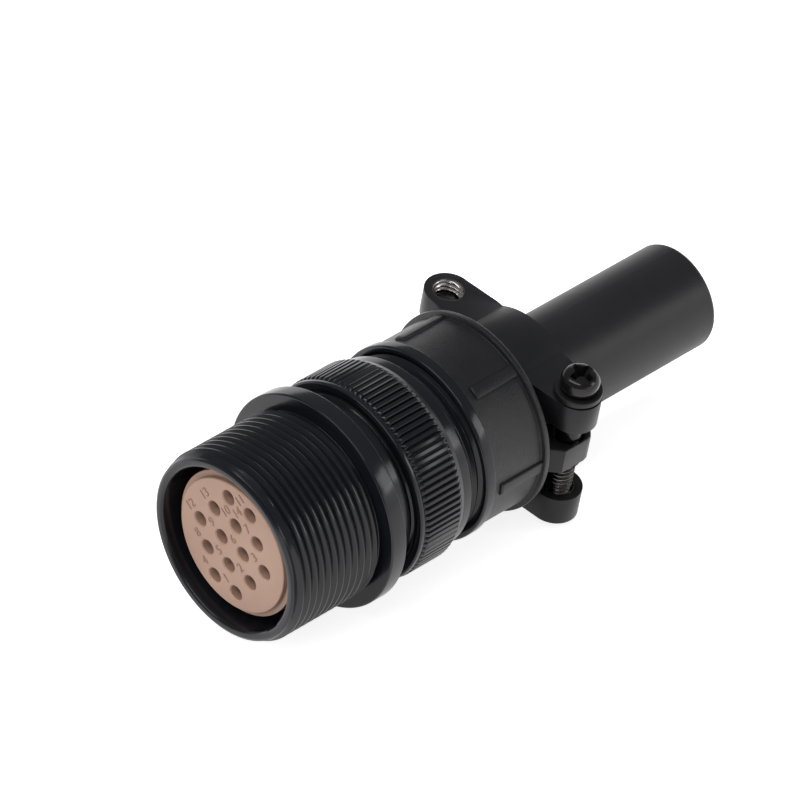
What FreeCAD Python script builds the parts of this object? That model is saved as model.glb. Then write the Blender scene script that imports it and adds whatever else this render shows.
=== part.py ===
import FreeCAD, Part
import math
import os

# Cable-end socket connector with a threaded front shell, a knurled back shell,
# a screwed cable clamp and a rubber cable sleeve. Lengths are in millimetres.
# The connector's axis is X: x = 0 is the front mating rim, the cable leaves
# towards +X, and +Z is up as the connector lies on a table.

# front shell
THREAD_R = 15.875
THREAD_PITCH = 25.4 / 18
THREAD_DEPTH = 0.80
THREAD_CREST = 0.20
THREAD_ROOT = 0.22
THREAD_COUNT = 12
FIRST_CREST_X = 1.30
LEAD_R = 15.25
RIM_R = 14.9
RIM_LEAD = 0.5
MOUTH_R = 13.7
MOUTH_CHAMFER = 0.45
LAND_X = 10.6
LAND_LENGTH = 4.0
LAND_R = 12.35
FLANGE_X = 18.2
FLANGE_WIDTH = 3.1
FLANGE_R = 18.0
FLANGE_EDGE = 0.35
NECK_R = 15.3
NECK_END_X = 24.6
REAR_THREAD_R = 14.85
REAR_THREAD_END_X = 33.2
SHELL_BORE_R = 13.4
KEYWAY_WIDTH = 3.2
KEYWAY_DEPTH = 0.42
KEYWAY_LENGTH = 8.0

# insert and contacts
FACE_X = 1.75
FACE_R = 11.3
STEP_X = 3.3
STEP_R = 12.2
INSERT_FLANGE_R = 13.25
INSERT_SPLIT_X = 17.0
INSERT_REAR_X = 24.0
CONTACT_PITCH = 4.76
ROW_COUNTS = (3, 4, 4, 3)
ROWS_TURN = 131.5
FUNNEL_R = 1.3
FUNNEL_DEPTH = 0.85
ENTRY_R = 0.95
SOCKET_X = 4.6
SOCKET_R = 1.35
SOCKET_BORE_R = 0.8
SOCKET_BORE_DEPTH = 9.0
COLLAR_R = 1.75
COLLAR_LENGTH = 2.0
CUP_R = 1.45
CUP_BORE_R = 1.0
CUP_END_X = 29.5
CUP_OPEN_LENGTH = 4.5

# spacer sleeve between the insert and the back shell's shoulder
SPACER_BORE_R = 11.6

# knurled back shell
KNURL_X = 25.4
KNURL_LIP = 1.0
KNURL_END_X = 34.4
KNURL_R = 17.05
KNURL_TEETH = 96
KNURL_DEPTH = 0.42
SHOULDER_R = 16.1
SHOULDER_END_X = 37.3
ACCESSORY_R = 15.08
ACCESSORY_END_X = 47.0
BACK_BORE_R = 12.0
RELIEF_R = 14.4

# cable clamp body
RING_GAP = 2.6
RING_X = SHOULDER_END_X + RING_GAP
RING_LIP_X = 41.9
RING_LIP_R = 16.55
PANEL_R = 16.1
PANEL_END_X = 52.2
RING_INSET = 0.1
RING_R = KNURL_R - RING_INSET
RING_END_X = 53.4
RIB_COUNT = 6
RIB_ANGLE = 8.0
RIB_R = 16.5
RIB_X = 43.3
RIB_TURN = -82.0
CLAMP_WALL = 2.6
ARM_INNER_Y = 10.2
ARM_ROOT_Y = 13.8
ARM_OUTER_Y = 17.0
ARM_HALF_HEIGHT = 2.45
ARM_END_X = 63.4
ARM_CORNER = 1.9

# saddles, screws and lock washers, in the clamp's own turned frame
CLAMP_TURN = 11.5
SCREW_X = 59.8
SCREW_HALF_SPACING = 14.4
EAR_R = 3.9
EAR_INNER_Z = 5.3
EAR_OUTER_Z = 10.3
SADDLE_SPLIT_Z = 3.2
ARCH_R = 12.3
ARCH_HALF_WIDTH = 4.5
EAR_ROOT_Y = 8.0
SCREW_R = 2.08
HEAD_R = 3.2
HEAD_HEIGHT = 3.2
HEAD_DOME = 0.9
RECESS_WIDTH = 1.0
RECESS_SPAN = 3.7
RECESS_DEPTH = 1.7
WASHER_R = 3.85
WASHER_HEIGHT = 1.0
WASHER_GAP = 0.8
SCREW_END_Z = 12.2
THREAD_HOLE_CHAMFER = 0.4

# the clamp stands loose: how far each saddle is open from its closed place
UPPER_OPEN = 0.75
LOWER_OPEN = 3.0

# rubber sleeve
SLEEVE_R = 8.97
SLEEVE_BORE_R = 7.94
SLEEVE_END_X = 98.8
SLEEVE_EDGE = 0.5
COLLAR_OUTER_R = 13.6

# clearances
THREAD_FIT = 0.10
RUNNING_FIT = 0.08
CONTACT_FIT = 0.03
SEAT = 0.02
SLEEVE_FIT = 0.12
SCREW_HOLE_FIT = 0.25


def turned(outline):
    """Solid of revolution about X from (x, r) corners."""
    points = [FreeCAD.Vector(x, 0, r) for x, r in outline]
    wire = Part.makePolygon(points + [points[0]])
    face = Part.Face(wire)
    return face.revolve(FreeCAD.Vector(0, 0, 0), FreeCAD.Vector(1, 0, 0), 360)


def rod(x_from, x_to, radius, y=0.0, z=0.0):
    """Cylinder along X."""
    return Part.makeCylinder(radius, x_to - x_from, FreeCAD.Vector(x_from, y, z), FreeCAD.Vector(1, 0, 0))


def post(z_from, z_to, radius, x, y):
    """Cylinder along Z."""
    return Part.makeCylinder(radius, z_to - z_from, FreeCAD.Vector(x, y, z_from), FreeCAD.Vector(0, 0, 1))


def cone_x(x_from, x_to, r_from, r_to, y, z):
    """Cone along X."""
    base = FreeCAD.Vector(x_from, y, z)
    return Part.makeCone(r_from, r_to, x_to - x_from, base, FreeCAD.Vector(1, 0, 0))


def block(x_from, x_to, y_from, y_to, z_from, z_to):
    """Box between two corners."""
    corner = FreeCAD.Vector(x_from, y_from, z_from)
    return Part.makeBox(x_to - x_from, y_to - y_from, z_to - z_from, corner)


def about_axis(shape, degrees):
    """Copy of a shape turned about the connector's axis."""
    copy = shape.copy()
    copy.rotate(FreeCAD.Vector(0, 0, 0), FreeCAD.Vector(1, 0, 0), degrees)
    return copy


def contact_places():
    """Centres (y, z) of the contacts: rows on a triangular lattice, turned with the insert."""
    row_step = CONTACT_PITCH * math.sqrt(3) / 2
    top = row_step * (len(ROW_COUNTS) - 1) / 2
    turn = math.radians(ROWS_TURN)
    places = []
    for row, count in enumerate(ROW_COUNTS):
        shift = ROW_SHIFTS[row] * CONTACT_PITCH
        for column in range(count):
            across = shift + column * CONTACT_PITCH
            up = top - row * row_step
            y = across * math.cos(turn) - up * math.sin(turn)
            z = across * math.sin(turn) + up * math.cos(turn)
            places.append((y, z))
    return places


# each row's first contact, in pitches from the insert's centre line
ROW_SHIFTS = (-1.25, -1.75, -1.25, -0.75)
PLACES = contact_places()


def make_front_shell():
    """Barrel with coupling thread ridges, wide flange and rear thread, bored and keyed."""
    outline = [(0, MOUTH_R + MOUTH_CHAMFER), (0, RIM_R), (RIM_LEAD, LEAD_R)]
    root_r = THREAD_R - THREAD_DEPTH
    flank = (THREAD_PITCH - THREAD_CREST - THREAD_ROOT) / 2
    for turn in range(THREAD_COUNT):
        crest = FIRST_CREST_X + turn * THREAD_PITCH
        foot = crest - THREAD_CREST / 2 - flank
        if turn == 0:
            rise = flank * (THREAD_R - LEAD_R) / THREAD_DEPTH
            outline.append((crest - THREAD_CREST / 2 - rise, LEAD_R))
        else:
            outline.append((foot, root_r))
        outline.append((crest - THREAD_CREST / 2, THREAD_R))
        outline.append((crest + THREAD_CREST / 2, THREAD_R))
        outline.append((crest + THREAD_CREST / 2 + flank, root_r))
    flange_end = FLANGE_X + FLANGE_WIDTH
    outline += [
        (FLANGE_X, root_r),
        (FLANGE_X, FLANGE_R - FLANGE_EDGE),
        (FLANGE_X + FLANGE_EDGE, FLANGE_R),
        (flange_end - FLANGE_EDGE, FLANGE_R),
        (flange_end, FLANGE_R - FLANGE_EDGE),
        (flange_end, NECK_R),
        (NECK_END_X, NECK_R),
        (NECK_END_X + 0.4, REAR_THREAD_R),
        (REAR_THREAD_END_X - 0.5, REAR_THREAD_R),
        (REAR_THREAD_END_X, REAR_THREAD_R - 0.5),
        (REAR_THREAD_END_X, SHELL_BORE_R),
        (LAND_X + LAND_LENGTH, SHELL_BORE_R),
        (LAND_X + LAND_LENGTH, LAND_R),
        (LAND_X, LAND_R),
        (LAND_X, MOUTH_R),
        (MOUTH_CHAMFER, MOUTH_R),
    ]
    shell = turned(outline)
    half = KEYWAY_WIDTH / 2
    groove = block(-1, KEYWAY_LENGTH, -half, half, MOUTH_R - 1, MOUTH_R + KEYWAY_DEPTH)
    groove = about_axis(groove, ROWS_TURN)
    return shell.cut(groove)


def make_insert_front():
    """Moulded face half: raised face, step, and a funnel above every contact."""
    land_end = LAND_X + LAND_LENGTH
    body = turned([
        (FACE_X, 0),
        (FACE_X, FACE_R - 0.25),
        (FACE_X + 0.25, FACE_R),
        (STEP_X, FACE_R),
        (STEP_X, STEP_R),
        (land_end + SEAT, STEP_R),
        (land_end + SEAT, INSERT_FLANGE_R),
        (INSERT_SPLIT_X, INSERT_FLANGE_R),
        (INSERT_SPLIT_X, 0),
    ])
    holes = []
    for y, z in PLACES:
        funnel = cone_x(FACE_X - 0.01, FACE_X + FUNNEL_DEPTH, FUNNEL_R, ENTRY_R, y, z)
        entry = rod(FACE_X, SOCKET_X + 0.2, ENTRY_R, y, z)
        seat = rod(SOCKET_X - 0.1, INSERT_SPLIT_X + 1, SOCKET_R + CONTACT_FIT, y, z)
        holes.append(funnel.fuse([entry, seat]))
    return body.cut(holes)


def make_insert_rear():
    """Rear half of the insert, which holds the contacts by their collars."""
    body = turned([
        (INSERT_SPLIT_X + SEAT, 0),
        (INSERT_SPLIT_X + SEAT, INSERT_FLANGE_R),
        (INSERT_REAR_X, INSERT_FLANGE_R),
        (INSERT_REAR_X, 0),
    ])
    holes = []
    for y, z in PLACES:
        collar = rod(INSERT_SPLIT_X - 1, INSERT_SPLIT_X + COLLAR_LENGTH + 2 * SEAT, COLLAR_R + CONTACT_FIT, y, z)
        cup = rod(INSERT_SPLIT_X, INSERT_REAR_X + 1, CUP_R + CONTACT_FIT, y, z)
        holes.append(collar.fuse(cup))
    return body.cut(holes)


def make_contact(y, z):
    """Machined socket contact: bored nose, locating collar and open solder cup."""
    nose = rod(SOCKET_X, INSERT_SPLIT_X + SEAT, SOCKET_R, y, z)
    collar_x = INSERT_SPLIT_X + SEAT
    collar = rod(collar_x, collar_x + COLLAR_LENGTH, COLLAR_R, y, z)
    cup = rod(collar_x, CUP_END_X, CUP_R, y, z)
    body = nose.fuse([collar, cup])
    socket = rod(SOCKET_X - 1, SOCKET_X + SOCKET_BORE_DEPTH, SOCKET_BORE_R, y, z)
    well = rod(CUP_END_X - CUP_OPEN_LENGTH - 0.8, CUP_END_X + 1, CUP_BORE_R, y, z)
    opening = block(CUP_END_X - CUP_OPEN_LENGTH, CUP_END_X + 1, y - 3, y + 3, z + 0.35, z + 3)
    return body.cut([socket, well, opening]).removeSplitter()


def make_spacer_sleeve():
    """Plain tube that the back shell presses against the insert."""
    outer = SHELL_BORE_R - RUNNING_FIT
    end = REAR_THREAD_END_X + 1.0
    return turned([
        (INSERT_REAR_X + SEAT, SPACER_BORE_R),
        (INSERT_REAR_X + SEAT, outer),
        (end, outer),
        (end, SPACER_BORE_R),
    ])


def knurl_blank():
    """Toothed prism for the straight knurl, one V tooth after the other."""
    points = []
    for tooth in range(KNURL_TEETH):
        crest = 2 * math.pi * tooth / KNURL_TEETH
        half = math.pi / KNURL_TEETH
        flat = half * 0.28
        for angle, radius in ((crest - flat, KNURL_R), (crest + flat, KNURL_R), (crest + half, KNURL_R - KNURL_DEPTH)):
            points.append(FreeCAD.Vector(KNURL_X, radius * math.sin(angle), radius * math.cos(angle)))
    face = Part.Face(Part.makePolygon(points + [points[0]]))
    return face.extrude(FreeCAD.Vector(KNURL_END_X - KNURL_X, 0, 0))


def make_back_shell():
    """Knurled back shell with a smooth lip, a shoulder and the accessory thread."""
    lip_end = KNURL_X + KNURL_LIP
    rise = KNURL_DEPTH + 0.15
    envelope = turned([
        (KNURL_X, 0),
        (KNURL_X, KNURL_R - 0.65),
        (KNURL_X + 0.3, KNURL_R - 0.25),
        (lip_end - 0.25, KNURL_R - 0.25),
        (lip_end - 0.2, KNURL_R - rise),
        (lip_end, KNURL_R - rise),
        (lip_end + rise, KNURL_R + 0.1),
        (KNURL_END_X - rise, KNURL_R + 0.1),
        (KNURL_END_X, KNURL_R - rise),
        (KNURL_END_X, 0),
    ])
    lip = turned([
        (KNURL_X, 0),
        (KNURL_X, KNURL_R - 0.65),
        (KNURL_X + 0.3, KNURL_R - 0.2),
        (lip_end - 0.3, KNURL_R - 0.2),
        (lip_end, KNURL_R - rise),
        (lip_end + 0.01, 0),
    ])
    knurl = knurl_blank().common(envelope)
    tail = turned([
        (KNURL_END_X - 0.5, 0),
        (KNURL_END_X - 0.5, KNURL_R - rise),
        (KNURL_END_X, KNURL_R - rise),
        (KNURL_END_X + 0.9, SHOULDER_R),
        (SHOULDER_END_X - 0.5, SHOULDER_R),
        (SHOULDER_END_X - 0.15, SHOULDER_R - 0.15),
        (SHOULDER_END_X, SHOULDER_R - 0.5),
        (SHOULDER_END_X, RELIEF_R),
        (SHOULDER_END_X + 1.0, RELIEF_R),
        (SHOULDER_END_X + 1.0 + ACCESSORY_R - RELIEF_R, ACCESSORY_R),
        (ACCESSORY_END_X - 0.6, ACCESSORY_R),
        (ACCESSORY_END_X, ACCESSORY_R - 0.6),
        (ACCESSORY_END_X, 0),
    ])
    seat_x = REAR_THREAD_END_X + 1.0 + SEAT
    bore = turned([
        (KNURL_X - 1, 0),
        (KNURL_X - 1, REAR_THREAD_R + THREAD_FIT + 0.4),
        (KNURL_X, REAR_THREAD_R + THREAD_FIT + 0.4),
        (KNURL_X + 0.4, REAR_THREAD_R + THREAD_FIT),
        (seat_x, REAR_THREAD_R + THREAD_FIT),
        (seat_x, BACK_BORE_R),
        (ACCESSORY_END_X + 1, BACK_BORE_R),
        (ACCESSORY_END_X + 1, 0),
    ])
    return knurl.fuse([lip, tail]).cut(bore).removeSplitter()


def make_clamp_body():
    """Clamp ring with panels between ribs, threaded inside, with two arms for the screws."""
    bore_r = ACCESSORY_R + THREAD_FIT
    wall_x = RING_END_X - CLAMP_WALL
    ring = turned([
        (RING_X, bore_r + 0.5),
        (RING_X, RING_LIP_R - 0.4),
        (RING_X + 0.4, RING_LIP_R),
        (RING_LIP_X - 0.15, RING_LIP_R),
        (RING_LIP_X, PANEL_R),
        (PANEL_END_X, PANEL_R),
        (PANEL_END_X + 0.15, RING_R),
        (RING_END_X - 0.35, RING_R),
        (RING_END_X, RING_R - 0.35),
        (RING_END_X, SLEEVE_R + SLEEVE_FIT),
        (wall_x, SLEEVE_R + SLEEVE_FIT),
        (wall_x, bore_r),
        (RING_X + 0.5, bore_r),
    ])
    ribs = []
    for number in range(RIB_COUNT):
        start = RIB_TURN + number * 360 / RIB_COUNT - RIB_ANGLE / 2
        profile = [(RIB_X, PANEL_R - 0.4), (RIB_X, RIB_R), (PANEL_END_X + 0.1, RIB_R), (PANEL_END_X + 0.1, PANEL_R - 0.4)]
        points = [FreeCAD.Vector(x, 0, r) for x, r in profile]
        face = Part.Face(Part.makePolygon(points + [points[0]]))
        rib = face.revolve(FreeCAD.Vector(0, 0, 0), FreeCAD.Vector(1, 0, 0), RIB_ANGLE)
        ribs.append(about_axis(rib, start))
    arms = []
    slope_end = RING_END_X + ARM_OUTER_Y - ARM_ROOT_Y
    for side in (-1, 1):
        plan = [
            (RING_END_X - 0.5, ARM_INNER_Y),
            (RING_END_X - 0.5, ARM_ROOT_Y),
            (RING_END_X, ARM_ROOT_Y),
            (slope_end, ARM_OUTER_Y),
            (ARM_END_X - ARM_CORNER, ARM_OUTER_Y),
            (ARM_END_X, ARM_OUTER_Y - ARM_CORNER),
            (ARM_END_X, ARM_INNER_Y),
        ]
        points = [FreeCAD.Vector(x, side * y, -ARM_HALF_HEIGHT) for x, y in plan]
        face = Part.Face(Part.makePolygon(points + [points[0]]))
        arm = face.extrude(FreeCAD.Vector(0, 0, 2 * ARM_HALF_HEIGHT))
        high = 2 * ARM_HALF_HEIGHT
        hole = post(-high, high, SCREW_R + SCREW_HOLE_FIT, SCREW_X, side * SCREW_HALF_SPACING)
        arms.append(about_axis(arm.cut(hole), CLAMP_TURN))
    return ring.fuse(ribs + arms).removeSplitter()


def make_rubber_sleeve():
    """Cable sleeve with a collar held inside the clamp body."""
    collar_x = ACCESSORY_END_X + SEAT
    collar_end = RING_END_X - CLAMP_WALL - SEAT
    return turned([
        (collar_x, SLEEVE_BORE_R + 0.6),
        (collar_x, COLLAR_OUTER_R),
        (collar_end, COLLAR_OUTER_R),
        (collar_end, SLEEVE_R),
        (SLEEVE_END_X - SLEEVE_EDGE, SLEEVE_R),
        (SLEEVE_END_X - 0.15, SLEEVE_R - 0.15),
        (SLEEVE_END_X, SLEEVE_R - SLEEVE_EDGE),
        (SLEEVE_END_X, SLEEVE_BORE_R + 0.1),
        (SLEEVE_END_X - 0.1, SLEEVE_BORE_R),
        (collar_x + 0.6, SLEEVE_BORE_R),
    ])


def make_saddle_blank():
    """Upper saddle: arch over the sleeve, two ears; plain hole at -Y, tapped hole at +Y."""
    reach = SCREW_HALF_SPACING
    inner, outer = EAR_INNER_Z, EAR_OUTER_Z
    wide = ARCH_HALF_WIDTH
    plan = [(-wide, -EAR_ROOT_Y), (-EAR_R, -reach), (EAR_R, -reach), (wide, -EAR_ROOT_Y)]
    plan += [(-x, -y) for x, y in plan]
    points = [FreeCAD.Vector(SCREW_X + x, y, inner) for x, y in plan]
    face = Part.Face(Part.makePolygon(points + [points[0]]))
    plate = face.extrude(FreeCAD.Vector(0, 0, outer - inner))
    bosses = []
    for side in (-1, 1):
        boss = post(inner, outer, EAR_R, SCREW_X, side * reach)
        bosses.append(boss)
    arch = rod(SCREW_X - wide, SCREW_X + wide, ARCH_R)
    beyond = reach + 2 * EAR_R
    keep = block(SCREW_X - beyond, SCREW_X + beyond, -beyond, beyond, SADDLE_SPLIT_Z, ARCH_R + outer)
    tunnel = rod(SCREW_X - beyond, SCREW_X + beyond, SLEEVE_R + SLEEVE_FIT)
    saddle = plate.fuse(bosses + [arch]).common(keep).cut(tunnel)
    plain = post(0, 2 * outer, SCREW_R + SCREW_HOLE_FIT, SCREW_X, -reach)
    tapped = post(0, 2 * outer, SCREW_R + RUNNING_FIT, SCREW_X, reach)
    mouth_r = SCREW_R + RUNNING_FIT + THREAD_HOLE_CHAMFER
    mouth_base = FreeCAD.Vector(SCREW_X, reach, outer - THREAD_HOLE_CHAMFER)
    mouth = Part.makeCone(mouth_r - THREAD_HOLE_CHAMFER, mouth_r, THREAD_HOLE_CHAMFER + 0.001, mouth_base)
    return saddle.cut([plain, tapped, mouth]).removeSplitter()


def make_screw_blank():
    """Cross-recessed screw that goes down through the -Y ear, head up."""
    y = -SCREW_HALF_SPACING
    seat_z = EAR_OUTER_Z + WASHER_HEIGHT + 2 * SEAT
    top_z = seat_z + HEAD_HEIGHT
    head = post(seat_z, top_z - HEAD_DOME, HEAD_R, SCREW_X, y)
    dome_base = FreeCAD.Vector(SCREW_X, y, top_z - HEAD_DOME)
    dome = Part.makeCone(HEAD_R, HEAD_R - HEAD_DOME, HEAD_DOME, dome_base)
    shank = post(-SCREW_END_Z, seat_z + 0.1, SCREW_R, SCREW_X, y)
    screw = head.fuse([dome, shank])
    half = RECESS_SPAN / 2
    thin = RECESS_WIDTH / 2
    low = top_z - RECESS_DEPTH
    slot_x = block(SCREW_X - half, SCREW_X + half, y - thin, y + thin, low, top_z + 1)
    slot_y = block(SCREW_X - thin, SCREW_X + thin, y - half, y + half, low, top_z + 1)
    return screw.cut(slot_x.fuse(slot_y)).removeSplitter()


def make_washer_blank():
    """Split lock washer under the -Y screw head."""
    y = -SCREW_HALF_SPACING
    low = EAR_OUTER_Z + SEAT
    ring = post(low, low + WASHER_HEIGHT, WASHER_R, SCREW_X, y)
    hole = post(low - 1, low + 5, SCREW_R + SCREW_HOLE_FIT, SCREW_X, y)
    split = block(SCREW_X, SCREW_X + 9, y - WASHER_GAP / 2, y + WASHER_GAP / 2, low - 1, low + 5)
    return ring.cut([hole, split])


def lifted(shape, height):
    """Copy of a shape moved out along Z."""
    copy = shape.copy()
    copy.translate(FreeCAD.Vector(0, 0, height))
    return copy


def upper(shape):
    """Place a clamp piece on the upper side."""
    return about_axis(lifted(shape, UPPER_OPEN), CLAMP_TURN)


def lower(shape):
    """Place the same piece on the lower side, half a turn about the axis."""
    return about_axis(lifted(shape, LOWER_OPEN), CLAMP_TURN + 180)


pieces = {}
pieces["front_shell"] = make_front_shell()
pieces["insert_front"] = make_insert_front()
pieces["insert_rear"] = make_insert_rear()
for number, place in enumerate(PLACES):
    pieces["contact_%02d" % (number + 1)] = make_contact(place[0], place[1])
pieces["spacer_sleeve"] = make_spacer_sleeve()
pieces["back_shell"] = make_back_shell()
pieces["clamp_body"] = make_clamp_body()
pieces["rubber_sleeve"] = make_rubber_sleeve()
saddle = make_saddle_blank()
screw = make_screw_blank()
washer = make_washer_blank()
pieces["upper_saddle"] = upper(saddle)
pieces["lower_saddle"] = lower(saddle)
pieces["near_screw"] = upper(screw)
pieces["far_screw"] = lower(screw)
pieces["near_lock_washer"] = upper(washer)
pieces["far_lock_washer"] = lower(washer)

os.makedirs("parts", exist_ok=True)
for name, shape in pieces.items():
    if not shape.isValid() or len(shape.Solids) != 1:
        raise ValueError("%s: valid %s, solids %d" % (name, shape.isValid(), len(shape.Solids)))
    shape.exportStep("parts/%s.step" % name)
    box = shape.BoundBox
    print("%-18s x %.2f..%.2f  z %.2f..%.2f  volume %.1f" % (name, box.XMin, box.XMax, box.ZMin, box.ZMax, shape.Volume))
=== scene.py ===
import bpy
import bmesh
import math
from mathutils import Matrix, Vector


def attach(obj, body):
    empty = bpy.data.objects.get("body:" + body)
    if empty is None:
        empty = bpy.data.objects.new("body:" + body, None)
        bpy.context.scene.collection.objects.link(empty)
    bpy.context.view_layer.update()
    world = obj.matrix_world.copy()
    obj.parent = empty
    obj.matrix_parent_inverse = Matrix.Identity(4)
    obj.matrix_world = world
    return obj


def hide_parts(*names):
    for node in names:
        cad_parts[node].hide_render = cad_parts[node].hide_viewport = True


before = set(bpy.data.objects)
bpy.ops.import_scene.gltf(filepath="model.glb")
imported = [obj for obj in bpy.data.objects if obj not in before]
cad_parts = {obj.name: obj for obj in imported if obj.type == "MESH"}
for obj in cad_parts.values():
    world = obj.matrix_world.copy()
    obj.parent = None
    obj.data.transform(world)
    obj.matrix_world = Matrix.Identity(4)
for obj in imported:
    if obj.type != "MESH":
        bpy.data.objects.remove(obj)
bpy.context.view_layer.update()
print("frame loaded:", len(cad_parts), "nodes")

mm = 0.001
making = {"mergeWithin": 3e-7, "flatWithin": 1e-8, "sharpAngle": 32, "softAngle": 40}  # metres and degrees
for spare in ("Cube", "Camera", "Light"):
    if spare in bpy.data.objects:
        bpy.data.objects.remove(bpy.data.objects[spare])


# outlines are lists of (x, r, fillet) in mm, seen in a half section of the connector
def filletedPath(corners, steps=4):
    points = []
    last = len(corners) - 1
    for i, (x, r, fillet) in enumerate(corners):
        if fillet <= 0 or i in (0, last):
            points.append((x, r))
            continue
        here = Vector((x, r))
        back = Vector(corners[i - 1][:2]) - here
        ahead = Vector(corners[i + 1][:2]) - here
        room = 0.48 * min(back.length, ahead.length)  # leaves space for the neighbours' fillets
        back.normalize()
        ahead.normalize()
        half = back.angle(ahead) / 2
        cut = min(fillet / math.tan(half), room)
        radius = cut * math.tan(half)
        middle = here + (back + ahead).normalized() * (radius / math.sin(half))
        first = here + back * cut - middle
        final = here + ahead * cut - middle
        for s in range(steps + 1):
            part = first.lerp(final, s / steps)
            part = middle + part.normalized() * radius
            points.append((part.x, part.y))
    return points


def around(x, r, angle):  # angle turns from +Z towards -Y
    return Vector((x * mm, -r * math.sin(angle) * mm, r * math.cos(angle) * mm))


def fullTurn(count):
    return [2 * math.pi * s / count for s in range(count + 1)]


def placed(name, data):
    thing = bpy.data.objects.new(name, data)
    bpy.context.scene.collection.objects.link(thing)
    return thing


def bridgeRows(bm, rows, closedLoop=True):
    wide = len(rows[0])
    for row, nextRow in zip(rows, rows[1:]):
        for k in range(wide if closedLoop else wide - 1):
            n = (k + 1) % wide
            bm.faces.new((row[k], row[n], nextRow[n], nextRow[k]))


def smoothShade(mesh, sharpAngle=making["sharpAngle"]):
    mesh.polygons.foreach_set("use_smooth", [True] * len(mesh.polygons))
    mesh.set_sharp_from_angle(angle=math.radians(sharpAngle))
    mesh.update()


def paintAll(mesh, index):  # index is a place in the piece's list of materials
    mesh.polygons.foreach_set("material_index", [index] * len(mesh.polygons))


def paintFaces(mesh, indexAt):
    mesh.polygons.foreach_set("material_index", [indexAt(face.center) for face in mesh.polygons])


def plainMesh(bm, name):
    mesh = bpy.data.meshes.new(name)
    bm.to_mesh(mesh)
    bm.free()
    return mesh


def cleanMesh(bm, name, merge=True):
    if merge:
        bmesh.ops.remove_doubles(bm, verts=bm.verts, dist=making["mergeWithin"])
    bmesh.ops.dissolve_degenerate(bm, dist=making["flatWithin"], edges=bm.edges)
    bmesh.ops.recalc_face_normals(bm, faces=bm.faces)
    mesh = plainMesh(bm, name)
    smoothShade(mesh)
    return mesh


# a half section carried round the connector's axis
def sweptMesh(name, sectionAt, angles, closedLoop=True):
    bm = bmesh.new()
    rows = [[bm.verts.new(around(x, r, a)) for x, r in sectionAt(a)] for a in angles]
    bridgeRows(bm, rows, closedLoop)
    return cleanMesh(bm, name)


# closed piece turned about X from an open outline that starts and ends on the axis
def turnedMesh(name, outline, count):
    return sweptMesh(name, lambda angle: outline, fullTurn(count), closedLoop=False)


def joinMeshes(name, *meshes):
    bm = bmesh.new()
    for mesh in meshes:
        bm.from_mesh(mesh)
    joined = plainMesh(bm, name)
    smoothShade(joined)
    return joined


def evaluatedMesh(source, name):
    bpy.context.view_layer.update()
    ready = source.evaluated_get(bpy.context.evaluated_depsgraph_get())
    mesh = bpy.data.meshes.new_from_object(ready)
    mesh.name = name
    bpy.data.objects.remove(source)
    return mesh


def cutAway(mesh, cutterMesh, name):
    holder = placed(name, mesh)
    cutter = placed(name + "Cutter", cutterMesh)
    cut = holder.modifiers.new("cut", "BOOLEAN")
    cut.operation = "DIFFERENCE"
    cut.solver = "EXACT"
    cut.object = cutter
    result = evaluatedMesh(holder, name)
    bpy.data.objects.remove(cutter)
    return result


def addPiece(name, mesh, materials, body, slotName, *nodes):
    piece = placed(name, mesh)
    used = [face.material_index for face in mesh.polygons]
    mesh.materials.clear()
    for material in materials:
        mesh.materials.append(material)
    mesh.polygons.foreach_set("material_index", [min(u, len(materials) - 1) for u in used])
    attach(piece, body)
    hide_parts(*nodes)
    print(name, "made:", len(mesh.polygons), "faces")


# copies one tooth or rib around the connector's axis
def repeatAround(name, unitMesh, count, firstTurn, material):
    tree = bpy.data.node_groups.new(name + "Ring", "GeometryNodeTree")
    newSocket = tree.interface.new_socket
    newSocket(name="Geometry", in_out="INPUT", socket_type="NodeSocketGeometry")
    countSocket = newSocket(name="Count", in_out="INPUT", socket_type="NodeSocketInt")
    turnSocket = newSocket(name="First Turn", in_out="INPUT", socket_type="NodeSocketFloat")
    newSocket(name="Geometry", in_out="OUTPUT", socket_type="NodeSocketGeometry")
    node = tree.nodes.new
    link = tree.links.new
    inputs = node("NodeGroupInput")
    points = node("GeometryNodeMeshLine")
    points.inputs["Offset"].default_value = (0, 0, 0)
    place = node("GeometryNodeInstanceOnPoints")
    index = node("GeometryNodeInputIndex")
    share = node("ShaderNodeMath")
    share.operation = "DIVIDE"
    turn = node("ShaderNodeMath")
    turn.operation = "MULTIPLY_ADD"
    turn.inputs[1].default_value = 2 * math.pi
    rotation = node("ShaderNodeCombineXYZ")
    realize = node("GeometryNodeRealizeInstances")
    paint = node("GeometryNodeSetMaterial")
    paint.inputs["Material"].default_value = material
    outputs = node("NodeGroupOutput")
    link(inputs.outputs["Count"], points.inputs["Count"])
    link(inputs.outputs["Geometry"], place.inputs["Instance"])
    link(points.outputs["Mesh"], place.inputs["Points"])
    link(index.outputs[0], share.inputs[0])
    link(inputs.outputs["Count"], share.inputs[1])
    link(share.outputs[0], turn.inputs[0])
    link(inputs.outputs["First Turn"], turn.inputs[2])
    link(turn.outputs[0], rotation.inputs["X"])
    link(rotation.outputs[0], place.inputs["Rotation"])
    link(place.outputs[0], realize.inputs[0])
    link(realize.outputs[0], paint.inputs["Geometry"])
    link(paint.outputs[0], outputs.inputs[0])
    holder = placed(name + "Unit", unitMesh)
    ring = holder.modifiers.new("ring", "NODES")
    ring.node_group = tree
    ring[countSocket.identifier] = count
    ring[turnSocket.identifier] = math.radians(firstTurn)
    mesh = evaluatedMesh(holder, name)
    paintAll(mesh, 0)  # Set Material adds a slot of its own
    return mesh


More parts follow.
